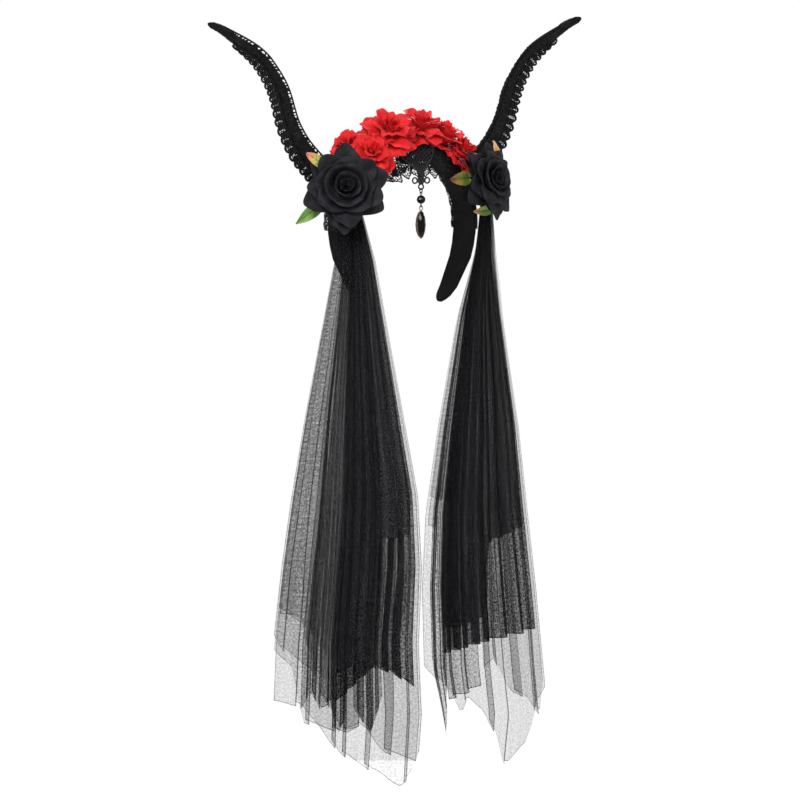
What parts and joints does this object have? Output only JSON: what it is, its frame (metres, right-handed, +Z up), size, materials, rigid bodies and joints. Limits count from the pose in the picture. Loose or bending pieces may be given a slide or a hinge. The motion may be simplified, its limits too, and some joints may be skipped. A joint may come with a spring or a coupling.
{
  "type": "horned veil",
  "caption": "Black lace headband with long horns, red and black silk roses, a black drop pendant and two long tulle veils.",
  "frame": {"origin": "inner surface of the headband at its apex, where the headpiece sits on the head", "axes": "+X towards the wearer's left, +Y towards the back of the head, +Z up"},
  "size_m": [0.4066, 0.097, 0.6959],
  "materials": {
    "black_cloth": "matte woven cloth",
    "black_lace": "matte lace",
    "black_silk": "soft satin",
    "red_silk": "soft satin",
    "black_tulle": "sheer net",
    "leaf_green": "printed silk leaf",
    "leaf_blush": "printed silk leaf with a pink tip",
    "dark_metal": "dark plated wire",
    "black_bead": "polished, faceted",
    "bronze": "darkened bronze"
  },
  "bodies": {
    "headpiece": {"headband": "black_cloth", "lace_strip": "black_lace", "lace_motif": "black_lace", "horn_left": "black_lace", "horn_right": "black_lace", "horn_trim_left": "black_lace", "horn_trim_right": "black_lace", "flower_1": "red_silk", "flower_2": "red_silk", "flower_3": "red_silk", "flower_4": "red_silk", "flower_5": "red_silk", "flower_6": "red_silk", "rose_left": "black_silk", "rose_right": "black_silk", "pad_left": "black_cloth", "pad_right": "black_cloth", "leaf_left_upper": "leaf_blush", "leaf_left_lower": "leaf_green", "leaf_right_inner": "leaf_blush", "leaf_right_lower": "leaf_green", "leaf_right_upper": "leaf_blush", "veil_left_front": "black_tulle", "veil_left_middle": "black_tulle", "veil_left_back": "black_tulle", "veil_right_front": "black_tulle", "veil_right_middle": "black_tulle", "veil_right_back": "black_tulle"},
    "bead_link": {"pendant_ring": "dark_metal", "bead_pin": "dark_metal", "bead": "black_bead"},
    "drop": {"drop_setting": "bronze", "drop_stone": "black_bead"}
  },
  "joints": [
    {"name": "bead_swing", "type": "hinge", "parent": "headpiece", "child": "bead_link", "pos_m": [0, -0.03259, -0.03484], "axis": [1, 0, 0], "range_deg": [-60, 60]},
    {"name": "drop_swing", "type": "hinge", "parent": "bead_link", "child": "drop", "pos_m": [0, -0.03259, -0.05094], "axis": [0, 1, 0], "range_deg": [-60, 60]}
  ]
}
